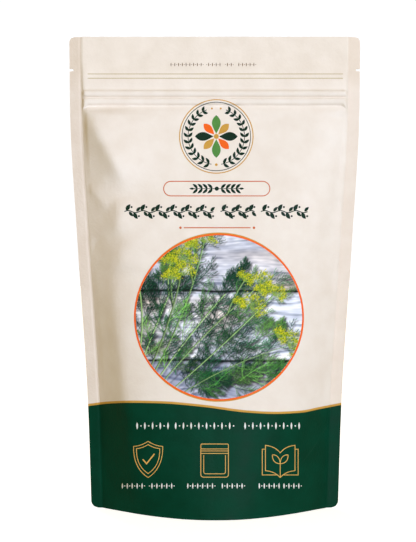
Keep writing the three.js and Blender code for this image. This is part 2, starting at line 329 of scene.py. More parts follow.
def cell_corners(grid):
    """The four corners of each cell of a grid, one after the other."""
    return np.stack([grid[:-1, :-1], grid[:-1, 1:], grid[1:, 1:], grid[1:, :-1]], -1)


def wall(outer, inner, flipped=False):
    """Quads between an edge of the outside and the same edge of the inside."""
    quads = np.stack([outer[:-1], outer[1:], inner[1:], inner[:-1]], -1)
    return quads[:, [1, 0, 3, 2]] if flipped else quads


def solid_faces(rows, columns, closed=False):
    """Quads that close the body between two grids, of which the first is its outside."""
    grid = np.arange(2 * rows * columns).reshape(2, rows, columns)
    if closed:
        grid = np.concatenate([grid, grid[:, :1]], axis=1)
    outer, inner = grid
    faces = [
        cell_corners(outer).reshape(-1, 4),
        cell_corners(inner)[..., [0, 3, 2, 1]].reshape(-1, 4),
        wall(outer[:, 0], inner[:, 0]),
        wall(outer[:, -1], inner[:, -1], flipped=True),
    ]
    if not closed:
        faces += [wall(outer[0], inner[0], flipped=True), wall(outer[-1], inner[-1])]
    return np.concatenate(faces)


def new_object(name, data):
    """An object with that mesh, light or camera, in the scene."""
    made = bpy.data.objects.new(name, data)
    bpy.context.scene.collection.objects.link(made)
    return made


def add_piece(name, points, faces, material, sharp_degrees=50):
    """A mesh piece of the pouch from points in mm."""
    mesh = bpy.data.meshes.new(name)
    mesh.from_pydata((points.reshape(-1, 3) * MM).tolist(), [], faces.tolist())
    mesh.shade_smooth()
    mesh.set_sharp_from_angle(angle=math.radians(sharp_degrees))
    mesh.materials.append(material)
    piece = new_object(name, mesh)
    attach(piece, "root")
    return piece


def set_attribute(piece, name, values):
    """The same numbers on the film's outer and inner faces, for its material to read."""
    attribute = piece.data.attributes.new(name, "FLOAT", "POINT")
    attribute.data.foreach_set("value", np.stack([values, values]).astype(np.float32).ravel())


# Colours, as they are on screen
def linear_light(screen):
    """Screen values from 0 to 255 as shares of linear light, by the usual screen curve."""
    share = np.asarray(screen) / 255
    return np.where(share < 0.04045, share / 12.92, ((share + 0.055) / 1.055) ** 2.4)


def colour(red, green, blue):
    """A screen colour as Blender's linear red, green, blue and alpha."""
    return (*linear_light((red, green, blue)).tolist(), 1.0)


# Where most values of a noise lie
NOISE_SPAN = (0.3, 0.7)


class Nodes:
    """The node tree of a material or the world, with short ways to add to it."""

    def __init__(self, owner):
        owner.use_nodes = True
        self.tree = owner.node_tree

    def feed(self, socket, value):
        """Links a socket to another node's output, or sets its own value."""
        if isinstance(value, bpy.types.NodeSocket):
            self.tree.links.new(value, socket)
        else:
            socket.default_value = value

    def add(self, kind, inputs=(), **settings):
        """A new shader node with these settings and inputs."""
        node = self.tree.nodes.new("ShaderNode" + kind)
        for key, value in settings.items():
            setattr(node, key, value)
        for key, value in dict(inputs).items():
            self.feed(node.inputs[key], value)
        return node

    def between(self, value, from_low, from_high, low, high):
        """A value moved from one span to another."""
        names = ("Value", "From Min", "From Max", "To Min", "To Max")
        inputs = zip(names, (value, from_low, from_high, low, high))
        return self.add("MapRange", inputs).outputs["Result"]

    def seen_or_lit(self, seen, lit, output):
        """One shader where the camera looks straight at it, and another for the light it gives."""
        straight = self.add("LightPath").outputs["Is Camera Ray"]
        mixer = self.add("MixShader", {0: straight, 1: lit.outputs[0], 2: seen.outputs[0]})
        self.feed(self.tree.nodes[output].inputs["Surface"], mixer.outputs[0])


class Finish(Nodes):
    """A new material, with what the surfaces here share."""

    def __init__(self, name):
        self.material = bpy.data.materials.new(name)
        super().__init__(self.material)
        self.shader = self.tree.nodes["Principled BSDF"]
        self.place = self.add("TexCoord").outputs["Object"]

    def on_mesh(self, name, output="Fac"):
        """What the mesh says at each point under that name."""
        return self.add("Attribute", attribute_name=name).outputs[output]

    def noise(self, size_mm, detail=3, stretch=(1, 1, 1)):
        """Smooth noise whose patches are about that many mm wide."""
        scaled = self.add("VectorMath", {0: self.place, 1: stretch}, operation="MULTIPLY")
        inputs = {"Vector": scaled.outputs[0], "Scale": 1 / (size_mm * MM), "Detail": detail}
        return self.add("TexNoise", inputs).outputs["Fac"]

    def patches(self, size_mm, detail=3, low=0, high=1):
        """The same noise, spread out from low to high."""
        return self.between(self.noise(size_mm, detail), *NOISE_SPAN, low, high)

    def mix(self, factor, first, second, blend="MIX"):
        """A colour between two, or the two multiplied where the blend says so."""
        inputs = {0: factor, 6: first, 7: second}
        return self.add("Mix", inputs, data_type="RGBA", blend_type=blend).outputs[2]

    def bump(self, height, distance_mm):
        inputs = {"Height": height, "Distance": distance_mm * MM}
        return self.add("Bump", inputs).outputs["Normal"]

    def surface(self, **sockets):
        """Feeds the shader's own sockets, and gives the material."""
        for key, value in sockets.items():
            self.feed(self.shader.inputs[key.replace("_", " ")], value)
        return self.material


# The film's colours, each from its darker to its lighter patches
CREAM = (colour(237, 227, 216), colour(243, 235, 226))
# Painted shade: a darker, warmer cream that the film fades to near the top, standing for shade there. It
# starts at the first height below and is full at the second.
SHADED_TOP_CREAM = (colour(232, 221, 207), colour(240, 230, 218))
TOP_SHADE_FROM = 184
TOP_SHADE_FULL = 196
CREAM_BLUR = 0.04
# The welds are drawn a little darker and warmer, fading in over about this many mm at their inner edge
WELD_DARKENING = colour(248, 244, 240)
WELD_DARKENING_OVER = 0.5
GREEN = (colour(0, 56, 38), colour(0, 64, 45))
GOLD = (colour(196, 146, 58), colour(216, 170, 84))
GOLD_LINE_HALF = 0.48
GOLD_BLUR = 0.05
FILM_ROUGHNESS = (0.5, 0.62)

# Each ink's darker and lighter tone
INK_TONES = {
    "gold": GOLD,
    "deep_green": (colour(14, 40, 28), colour(22, 52, 38)),
    "leaf_green": (colour(74, 132, 62), colour(96, 152, 78)),
    "orange": (colour(240, 98, 30), colour(250, 112, 38)),
    "pale": (colour(226, 232, 228), colour(240, 243, 240)),
    "brown": (colour(106, 74, 40), colour(122, 88, 52)),
    "rust": (colour(198, 100, 52), colour(210, 114, 66)),
    "bright_gold": (colour(226, 176, 88), colour(240, 194, 110)),
    "olive_gold": (colour(176, 156, 98), colour(192, 172, 114)),
}


def film_material():
    """Matt laminate: cream above the wave, green below it, and a gold line between. The cream is painted
    darker and warmer towards the top as shade.
    """
    nodes = Finish("printed_film")
    cloudy = nodes.patches(9, 4)
    grain = nodes.noise(1.1, 2)
    height = nodes.add("SeparateXYZ", {0: nodes.place}).outputs["Z"]
    # Painted shade: how much of the darker top cream there is at each height
    top_shade = nodes.between(height, TOP_SHADE_FROM * MM, TOP_SHADE_FULL * MM, 0, 1)
    cream = nodes.mix(top_shade, nodes.mix(cloudy, *CREAM), nodes.mix(cloudy, *SHADED_TOP_CREAM))
    green = nodes.mix(cloudy, *GREEN)
    gold = nodes.mix(nodes.noise(3), *GOLD)
    above = nodes.on_mesh("above_wave")
    is_cream = nodes.between(above, -CREAM_BLUR, CREAM_BLUR, 0, 1)
    distance = nodes.add("Math", {0: above}, operation="ABSOLUTE").outputs[0]
    is_gold = nodes.between(distance, GOLD_LINE_HALF - GOLD_BLUR, GOLD_LINE_HALF + GOLD_BLUR, 1, 0)
    printed = nodes.mix(is_gold, nodes.mix(is_cream, green, cream), gold)
    welded = nodes.on_mesh("welded")
    relief = nodes.add("Math", {0: nodes.noise(3.2, 4), 1: grain}, operation="ADD").outputs[0]
    return nodes.surface(
        # The welds are multiplied darker and warmer
        Base_Color=nodes.mix(welded, printed, WELD_DARKENING, blend="MULTIPLY"),
        Roughness=nodes.between(cloudy, 0, 1, *FILM_ROUGHNESS),
        Normal=nodes.bump(relief, 0.12), Specular_IOR_Level=0.07)


def gusset_material():
    """The same laminate, green all over."""
    nodes = Finish("green_film")
    cloudy = nodes.patches(9, 4)
    return nodes.surface(
        Base_Color=nodes.mix(cloudy, *GREEN), Roughness=nodes.between(cloudy, 0, 1, *FILM_ROUGHNESS),
        Normal=nodes.bump(nodes.noise(3.2, 5), 0.15), Specular_IOR_Level=0.12)


def ink_material(name, first, second):
    """Ink printed on the film, a little uneven."""
    nodes = Finish(name)
    return nodes.surface(
        Base_Color=nodes.mix(nodes.noise(2.5), first, second),
        Roughness=nodes.patches(6, low=0.45, high=0.58),
        Normal=nodes.bump(nodes.noise(1.1, 2), 0.04), Specular_IOR_Level=0.12)


def picture_material():
    """The printed picture: its colours are painted on the mesh."""
    nodes = Finish("printed_picture")
    painted = nodes.on_mesh("painted", "Color")
    worn = nodes.mix(nodes.patches(4, high=0.01), painted, colour(235, 235, 240))
    return nodes.surface(
        Base_Color=worn, Roughness=nodes.patches(6, low=0.42, high=0.55), Specular_IOR_Level=0.06)


def zip_material():
    """Milky extruded plastic with faint lines along it."""
    nodes = Finish("milky_plastic")
    lines = nodes.noise(0.4, 2, stretch=(0.03, 1, 1))
    tint = nodes.mix(nodes.noise(5), colour(232, 236, 236), colour(242, 244, 243))
    return nodes.surface(
        Base_Color=tint, Roughness=nodes.between(lines, *NOISE_SPAN, 0.28, 0.42),
        Normal=nodes.bump(lines, 0.05), Subsurface_Weight=0.2, Subsurface_Scale=0.001)


def seed_material():
    """Dry brown seed coats, ribbed in pale lines."""
    nodes = Finish("seed_coats")
    ribs = nodes.noise(0.8, 2, stretch=(1, 0.35, 1))
    tint = nodes.mix(nodes.between(ribs, 0.35, 0.65, 0, 1), colour(106, 78, 46), colour(176, 148, 104))
    return nodes.surface(Base_Color=tint, Roughness=0.85, Normal=nodes.bump(ribs, 0.3))


# The film panels. The wave is the gold line's path, as (across, height) steps seen from the front.
wave = ladder([
    (-66, 44.4), (-55.4, 45.95), (-46.5, 46.99), (-37.5, 47.29), (-24.2, 47.04), (-6.3, 45.56),
    (15.9, 42.8), (27, 42.3), (38.2, 42.82), (47.1, 44.51), (56.1, 46.23), (66, 47.8),
])


def panel_rows():
    """Heights of the mesh's rows: finer at the zip, the notches and the rounded corners."""
    notch = [NOTCH_HEIGHT + side * (NOTCH_HALF + lip) for side in (-1, 1) for lip in (-NOTCH_LIP, 0)]
    parts = [
        np.linspace(0, BASE_CORNER, BASE_CORNER_ROWS),
        np.arange(BASE_CORNER + CELL, FINE_FROM, CELL),
        np.arange(FINE_FROM, FINE_TO, FINE_CELL),
        np.arange(FINE_TO, NOTCH_HEIGHT - NOTCH_CLEARANCE, CELL),
        notch,
        np.arange(NOTCH_HEIGHT + NOTCH_CLEARANCE, POUCH_HEIGHT - TOP_CORNER - CORNER_CLEARANCE, CELL),
        POUCH_HEIGHT - np.linspace(0, TOP_CORNER, TOP_CORNER_ROWS),
    ]
    return np.unique(np.round(np.concatenate(parts), 4))


def edge_inset(z):
    """How far the side edge stands in, at the rounded corners and the tear notch."""
    inset = np.zeros_like(z)
    for radius, to_edge in ((BASE_CORNER, z), (TOP_CORNER, POUCH_HEIGHT - z)):
        near = np.clip(radius - to_edge, 0, radius)
        inset += radius - np.sqrt(radius ** 2 - near ** 2)
    return np.where(np.abs(z - NOTCH_HEIGHT) < NOTCH_HALF - NOTCH_LIP / 2, NOTCH_DEPTH, inset)


def panel_grid():
    """The places of a panel's mesh points, as x and z."""
    z = panel_rows()[:, None]
    middle = np.linspace(-1, 1, MIDDLE_COLUMNS)
    inside = np.array(SEAM_COLUMNS)
    weld = np.array(WELD_COLUMNS) / SIDE_SEAL
    seam = seam_half(z)
    edge = half_width(z) - edge_inset(z)
    right = np.concatenate([seam - inside, seam + (edge - seam) * weld], axis=1)
    x = np.concatenate([-right[:, ::-1], (seam - SEAM_ZONE) * middle, right], axis=1)
    return x, np.broadcast_to(z, x.shape)


def add_panel(name, node, depth, side):
    """A film panel, cut and formed: side is 1 on the front and -1 on the back."""
    x, z = panel_grid()
    both = film_points(x, z, depth, 0, -FILM)
    both[:, 0, :, 2] = 0
    both[:, -1, :, 2] = POUCH_HEIGHT
    nearer = (EYE_DISTANCE - depth(x, z)) / EYE_DISTANCE
    drawn_x = EYE_X + (side * x - EYE_X) / nearer
    drawn_z = EYE_Z + (z - EYE_Z) / nearer
    points = both if side > 0 else turned(both)
    piece = add_piece(name, points, solid_faces(*x.shape), printed_film)
    set_attribute(piece, "above_wave", drawn_z - wave(drawn_x))
    set_attribute(piece, "welded", smooth(0.5 - from_weld_edge(x, z) / WELD_DARKENING_OVER))
    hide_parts(node)


# The base gusset
def gusset_line(station):
    """The gusset film's middle line at one station across, from the front weld over to the back one."""
    weld = WELD_MIDDLE + (GUSSET_FOLD - WELD_MIDDLE) * abs(station) ** WELD_CURVE

    def on_panel(z):
        return film_points(station * seam_half(z), z, film_depth, -GUSSET_INSET)[0]

    reach = -on_panel(np.array([float(weld)]))[0, 1]
    radius = min(FOLD_RADIUS, reach * FOLD_SHARE)
    slack = math.sqrt(max((GUSSET_FOLD - weld) ** 2 - reach ** 2, 0))
    slack *= float(smooth((reach - SAG_FROM) / SAG_FULL_OVER))
    floor = max(GUSSET_FLOOR, weld - slack)
    skirt = on_panel(np.linspace(0, weld - radius, GUSSET_COLUMNS, endpoint=False))
    skirt[0, 2] = 0
    angle = np.linspace(math.pi, math.pi / 2, TURN_STEPS)
    middle_x = station * seam_half(weld)
    turn_y = -reach + radius + radius * np.cos(angle)
    turn = np.stack([np.full(TURN_STEPS, middle_x), turn_y, weld - radius + radius * np.sin(angle)], -1)
    share = np.linspace(1, 0, 2 * GUSSET_COLUMNS)[1:]
    drop = floor + (weld - floor) * smooth(share)
    bowl = np.stack([np.full(len(share), middle_x), -(reach - radius) * share, drop], -1)
    front = np.concatenate([skirt, turn, bowl])
    back = front[-2::-1] * np.array([1, -1, 1])
    return np.concatenate([front, back])


def add_gusset():
    """The base film: welded up inside both panels and hanging as a bowl between them."""
    stations = np.sin(np.linspace(-1, 1, GUSSET_STATIONS) * math.pi / 2) * GUSSET_END
    middle = np.stack([gusset_line(station) for station in stations])
    normal = np.cross(np.gradient(middle, axis=1), np.gradient(middle, axis=0))
    normal /= np.linalg.norm(normal, axis=-1, keepdims=True)
    x, y, z = np.moveaxis(middle, -1, 0)
    free = smooth((z - FREE_ABOVE) / ABOVE_FADE) * smooth((FREE_INSIDE - np.abs(y)) / INSIDE_FADE)
    uneven = BOWL_UNEVEN * lattice_noise(x, y + BOWL_SHIFT, BOWL_PATCH, BOWL_SEED) * free
    middle = middle + normal * uneven[..., None]
    lower = middle + normal * FILM / 2
    upper = middle - normal * FILM / 2
    for line in (lower, upper):
        line[:, (0, -1), 2] = 0
    faces = solid_faces(*middle.shape[:2])
    piece = add_piece("gusset_film", np.stack([lower, upper]), faces, green_film)
    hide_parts("bottom_gusset")


# Print: flat shapes of one ink
def spaced(points, longest=1.0, closed=False):
    """The same outline with no two points further apart than that."""
    points = np.asarray(points, float)
    ends = np.roll(points, -1, axis=0) if closed else points[1:]
    starts = points if closed else points[:-1]
    out = []
    for start, end in zip(starts, ends):
        count = max(1, math.ceil(np.linalg.norm(end - start) / longest))
        out.append(start + (end - start) * np.arange(count)[:, None] / count)
    if not closed:
        out.append(points[-1:])
    return np.concatenate(out)


def arc(centre, radius, start, end, steps=16, squeeze=1):
    """Points on part of a circle or an ellipse. Angles are in degrees, from +u towards +v."""
    angle = np.radians(np.linspace(start, end, steps))
    return np.stack([centre[0] + radius * np.cos(angle), centre[1] + squeeze * radius * np.sin(angle)], -1)


def bend(start, control, end, steps=10):
    """A curve from start to end that sets out and arrives along the lines to the control point."""
    t = np.linspace(0, 1, steps)[:, None]
    start, control, end = (np.asarray(point, float) for point in (start, control, end))
    return (1 - t) ** 2 * start + 2 * t * (1 - t) * control + t * t * end


def unit_rows(rows):
    """Each row at length 1."""
    return rows / np.maximum(np.linalg.norm(rows, axis=1, keepdims=True), 1e-9)


# How deep the print is rooted in the film, and how far each ink and the picture stand on it
INK_ROOT = 0.08
INK_LIFT = 0.05
RIM_LIFT = 0.03
ORANGE_LIFT = 0.06
GOLD_LIFT = 0.07
PICTURE_LIFT = 0.03

# Steps along a leaf, and points along a dot
LEAF_STEPS = 10
DOT_POINTS = 9


class Ink:
    """Flat bands of one colour, drawn in mm in the plane of the welds."""

    def __init__(self):
        self.bands = []

    def band(self, points, half_widths, closed=False, across=1):
        """A band along points, as wide at each as its half width says, with mitred corners."""
        after = np.roll(points, -1, axis=0) - points
        before = points - np.roll(points, 1, axis=0)
        if not closed:
            after[-1] = before[-1]
            before[0] = after[0]
        sides = [unit_rows(step)[:, ::-1] * (-1, 1) for step in (before, after)]
        mitre = unit_rows(sides[0] + sides[1])
        stretch = 1 / np.maximum((mitre * sides[0]).sum(1), 0.5)
        reach = (np.broadcast_to(half_widths, len(points)) * stretch)[:, None, None]
        offsets = np.linspace(1, -1, across + 1)[None, :, None]
        self.bands.append((points[:, None] + mitre[:, None] * reach * offsets, closed))

    def line(self, points, width, closed=False):
        """A line of even width through corner points."""
        self.band(spaced(points, closed=closed), width / 2, closed)

    def leaf(self, base, degrees, length, width, curl=0, fullest=0.45):
        """A leaf, petal or seed from its base to its tip."""
        t = np.linspace(0, 1, LEAF_STEPS + 1)
        heading = np.radians(degrees + curl * (t - 0.5))
        steps = np.stack([np.cos(heading), np.sin(heading)], -1) * length / LEAF_STEPS
        points = np.asarray(base, float) + np.concatenate([[(0, 0)], np.cumsum(steps, axis=0)[:-1]])
        skew = math.log(0.5) / math.log(fullest)
        half = np.maximum(width / 2 * np.sin(math.pi * t ** skew) ** 0.8, 0.05)
        self.band(points, half, across=max(2, round(width)))

    def dot(self, centre, radius):
        t = np.sin(np.linspace(-1, 1, DOT_POINTS) * math.pi / 2)
        points = np.asarray(centre, float) + np.stack([t * radius, np.zeros(DOT_POINTS)], -1)
        self.band(points, np.sqrt(np.maximum(1 - t * t, 0.04)) * radius, across=2)

    def ring(self, centre, radius, width, steps=120):
        self.band(arc(centre, radius, 0, 360, steps + 1)[:-1], width / 2, closed=True)

    def meshed(self, project, depth, lift):
        """All bands as thin closed bodies on the film."""
        drawn = np.concatenate([band.reshape(-1, 2) for band, _ in self.bands])
        x, z = project(drawn[:, 0], drawn[:, 1])
        faces, first, total = [], 0, len(x)
        for band, closed in self.bands:
            rows, columns = band.shape[:2]
            size = rows * columns
            corners = solid_faces(rows, columns, closed)
            faces.append(np.where(corners < size, corners + first, corners - size + first + total))
            first += size
        return film_points(x, z, depth, lift, -INK_ROOT), np.concatenate(faces)


def on_front(drawn_x, drawn_z):
    """Where a drawn place falls on the front film, seen from the front: found in a few rounds."""
    x, z = drawn_x, drawn_z
    for _ in range(EYE_ROUNDS):
        nearer = (EYE_DISTANCE - front_depth(x, z)) / EYE_DISTANCE
        x = EYE_X + (drawn_x - EYE_X) * nearer
        z = EYE_Z + (drawn_z - EYE_Z) * nearer
    return x, z


def on_back(drawn_x, drawn_z):
    """Print on the back is drawn straight onto the film."""
    return drawn_x, drawn_z


def add_print(name, ink, tone, lift=INK_LIFT, front=True):
    """One ink's shapes on one side of the pouch."""
    depth = front_depth if front else back_depth
    points, faces = ink.meshed(on_front if front else on_back, depth, lift)
    placed = points if front else turned(points)
    add_piece(name, placed, faces, inks[tone], sharp_degrees=40)


# The round badge: a wreath round an eight-petalled flower
BADGE = (0.7, 165.64)
BADGE_RADIUS = 16.4
WREATH_RADIUS = 12.6
WREATH_PAIRS = 12


def draw_badge(gold, deep, leaf, orange):
    """Two rings, a wreath that is open at its top, and a rosette of two sizes of petal."""
    gold.ring(BADGE, BADGE_RADIUS, 0.42)
    deep.ring(BADGE, BADGE_RADIUS - 1.1, 0.3)

    def on_wreath(turn):
        return arc(BADGE, WREATH_RADIUS, turn, turn, 1)[0]

    for side in (-1, 1):
        deep.line(arc(BADGE, WREATH_RADIUS, 270 + side * 10, 270 + side * 160, 40), 0.3)
        for n in range(WREATH_PAIRS):
            turn = 270 + side * (15 + 12.4 * n)
            ahead = turn + side * 90
            size = 3 - 0.05 * n
            for out in (-1, 1):
                deep.leaf(on_wreath(turn), ahead + side * out * 44, size, 1.25, curl=-side * out * 32)
        gold.dot(on_wreath(270 + side * 171), 0.42)
    gold.dot(on_wreath(270), 0.6)
    petals = ((leaf, 8.2, 3.9), (orange, 6.6, 3.2), (deep, 8.2, 3.9), (gold, 6.6, 3.2)) * 2
    for n, (ink, length, width) in enumerate(petals):
        turn = 90 + 360 * n / len(petals)
        ink.leaf(arc(BADGE, 1.3, turn, turn, 1)[0], turn, length, width, fullest=0.58)
    gold.dot(BADGE, 1.1)


# The plate below it, the title's garlands and the rule
PLATE = (-22.8, 24.6, 139.1, 145.6)
TITLE_HEIGHT = 132.1
TITLE_GROUPS = ((-40.3, -0.6), (2.6, 17.8), (20.6, 41.4))
RULE = (-13.8, 16)
RULE_HEIGHT = 124.9


def draw_plate(orange, deep):
    """A plate with round ends, and a sprig with leaves to both sides in it."""
    left, right, low, high = PLATE
    radius = (high - low) / 2
    middle = (low + high) / 2
    frame_line = np.concatenate([
        arc((right - radius, middle), radius, -90, 90), arc((left + radius, middle), radius, 90, 270)])
    orange.line(frame_line, 0.42, closed=True)
    centre = (left + right) / 2
    deep.line([(centre - 10.4, middle), (centre + 10.4, middle)], 0.26)
    deep.dot((centre, middle), 0.95)
    for side in (-1, 1):
        for n in range(4):
            base = (centre + side * (2 + 2.2 * n), middle)
            for up in (-1, 1):
                deep.leaf(base, 90 - side * 90 + side * up * 42, 3, 1.2, curl=-side * up * 30)
        deep.leaf((centre + side * 10, middle), 90 - side * 90, 2.2, 0.9)


GARLAND_PITCH = 3.3
GARLAND_SWING = 0.16


def draw_garland(ink, start, end, middle, reach):
    """A wavy stem with leaves on both sides, of that reach from its middle height."""
    count = round((end - start) / GARLAND_PITCH)
    pitch = (end - start) / count
    swing = GARLAND_SWING * reach
    u = np.linspace(start, end, 12 * count)
    ink.line(np.stack([u, middle + swing * np.sin((u - start) / pitch * math.pi)], -1), 0.42)
    for n in range(count):
        at = start + (n + 0.3) * pitch
        up = 1 if n % 2 == 0 else -1
        root = (at, middle + swing * math.sin((n + 0.3) * math.pi))
        ink.leaf(root, up * 58, 1.14 * reach, 1.75, curl=-up * 34)
        ink.leaf((at + 0.35 * pitch, middle), up * -46, 0.95 * reach, 1.35, curl=up * 30)
        ink.dot((at + 0.66 * pitch, middle + up * 0.7 * reach), 0.45)


def draw_title(deep, orange):
    """Garlands where a title would stand, and a rule with a dot at each end."""
    for start, end in TITLE_GROUPS:
        draw_garland(deep, start, end, TITLE_HEIGHT, 2.9)
    orange.line([(end, RULE_HEIGHT) for end in RULE], 0.45)
    for end, away in zip(RULE, (-1.5, 1.5)):
        orange.dot((end + away, RULE_HEIGHT), 0.56)


# Small print above the zip, and the rows in the green band
def draw_small_row(ink, start, end, middle, height, pitch, breaks=()):
    """A border of upright seeds and dots, with a gap at each break."""
    for n in range(round((end - start) / pitch) + 1):
        at = start + n * pitch
        if any(abs(at - gap) < pitch * 0.6 for gap in breaks):
            continue
        if n % 2 == 0:
            ink.leaf((at, middle - height / 2), 90, height, 0.25 * height, fullest=0.5)
        else:
            ink.dot((at, middle), 0.1 * height)


def draw_top(olive, brown):
    """The double line and the small row above the zip."""
    for height in (193.53, 191.6):
        olive.line([(-56.7, height), (57.2, height)], 0.26)
    draw_small_row(brown, -19.5, 18.4, 197.7, 1.6, 0.84, (-4.2, 3.6, 9.4))


def draw_band_rows(pale):
    """A row above the pictograms, and a shorter one below each."""
    draw_small_row(pale, -34.6, 37.6, 36.5, 3.1, 1.72, (-19.6, 11.0))
    for start, end, breaks in ((-41.2, -18.6, (-29.9,)), (-12.0, 13.3, (1.8,)), (19.9, 38.4, (29.4,))):
        draw_small_row(pale, start, end, 9.7, 2.5, 1.1, breaks)


# Three line pictograms in the green band
def mirrored(points, middle):
    """A half outline and its mirror image, as one closed outline."""
    other = points[::-1] * (-1, 1) + (2 * middle, 0)
    return np.concatenate([points, other[1:-1]])


def draw_shield(gold):
    """Two shield outlines, one in the other, round a tick."""
    centre, top, width, height = -29.7, 29.6, 13, 16.2
    for shrink in (1, 0.8):
        w, h = width / 2 * shrink, height * shrink
        high = top - height * (1 - shrink) * 0.44
        shoulder = (centre + w, high - 0.14 * h)
        over = bend((centre, high), (centre + 0.5 * w, high - 0.13 * h), shoulder)
        down = bend(shoulder, (centre + 1.04 * w, high - 0.73 * h), (centre, high - h))
        gold.line(mirrored(np.concatenate([over, down[1:]]), centre), 0.28, closed=True)
    tick = [(centre - 2.4, top - 8), (centre - 0.7, top - 10), (centre + 2.8, top - 5.6)]
    gold.line(tick, 0.52)


def rounded_box(left, right, low, high, radius):
    """The outline of a box with round corners."""
    corners = ((right, high, 0), (left, high, 90), (left, low, 180), (right, low, 270))
    parts = []
    for u, v, start in corners:
        inward = (u - radius if u == right else u + radius, v - radius if v == high else v + radius)
        parts.append(arc(inward, radius, start, start + 90, 7))
    return np.concatenate(parts)


def draw_pouch_icon(gold):
    """A bag with a zip: its rounded top, and one outline in the other."""
    left, right, low, high = -6.2, 6.1, 13.6, 28.4
    gold.line(rounded_box(left, right, high - 2.2, high, 0.5), 0.3, closed=True)
    for height in (high - 3.1, high - 4.2):
        gold.line([(left, height), (right, height)], 0.28)
    outer = np.concatenate([
        [(left, high - 2.2)], arc((left + 1.2, low + 1.2), 1.2, 180, 270, 7),
        arc((right - 1.2, low + 1.2), 1.2, 270, 360, 7), [(right, high - 2.2)]])
    gold.line(outer, 0.3)
    inner = np.concatenate([
        [(left + 1.3, high - 5)], arc((left + 2.2, low + 2.4), 0.9, 180, 270, 6),
        arc((right - 2.2, low + 2.4), 0.9, 270, 360, 6), [(right - 1.3, high - 5)]])
    gold.line(inner, 0.28)


def draw_book(gold):
    """An open book with a seedling between its pages."""
    middle, half, low, high = 29.2, 8, 14.6, 27.8
    for side in (-1, 1):
        page = bend((middle, high - 3.4), (middle + side * 2.2, high - 0.4), (middle + side * 6.6, high))
        foot = bend((middle + side * 6.6, low + 1.9), (middle + side * 2.4, low + 1.6), (middle, low - 1.2))
        gold.line(np.concatenate([page, foot]), 0.29)
        cover = [(middle + side * 6.6, high - 1.7), (middle + side * half, high - 1.7),
                 (middle + side * half, low), (middle + side * 1.6, low)]
        gold.line(cover, 0.29)
        bud = (middle, 19.6)
        tip = (middle + side * 3.5, 23.6)
        gold.line(bend(bud, (middle + side * 0.2, 23.6), tip), 0.29)
        gold.line(bend(bud, (middle + side * 3.6, 19.8), tip), 0.29)
    gold.line([(middle, low - 1.2), (middle, 19.8)], 0.29)


# The round picture: a spray of feathery herb with yellow flower heads on pale boards
PICTURE = (1.88, 85.0)
PICTURE_RADIUS = 36.95
PICTURE_STRETCH = 1.015
PICTURE_EDGE = 0.2
PAINTING_HALF = PICTURE_RADIUS + 1
PIXEL = 0.15
PAINTING_SEED = 5
BOARD_EDGES = (-60, -19.5, 11.6, 60)
BOARD_TONES = ((166, 172, 194), (214, 220, 234), (196, 200, 214))
STEM_LENGTHS = (48, 62, 54, 70, 60, 76, 60, 68, 52, 62, 50)
LEAVES_PER_STEM = 7
LOOSE_FRONDS = [
    ((-30, 4), 100, 14), ((-25, 14), 70, 15), ((-12, -27), -20, 15), ((2, -30), 15, 16),
    ((16, -24), -10, 15),
]
BRANCHES_AT_LEVEL = (0, 6, 7, 9)
THREAD_STEP = 0.12
WIDE_FROM_POINTS = 60
SHADOW_ROUNDS = 5
FROND_TONES = ((22, 72, 46), (38, 94, 52), (66, 122, 56), (102, 156, 74), (12, 52, 38))
STALK_TONE = (138, 172, 112)
RAYS = 17
RAY_TONE = (128, 156, 70)
FLOWERS_PER_RAY = 30
FLOWER_TONES = ((196, 192, 24), (138, 160, 30), (214, 206, 60), (70, 104, 34))
FLOWER_SHAPE = np.array([(0, 0), (1, 0), (0, 1), (1, 1)]) * PIXEL
CONTRAST = 1.16


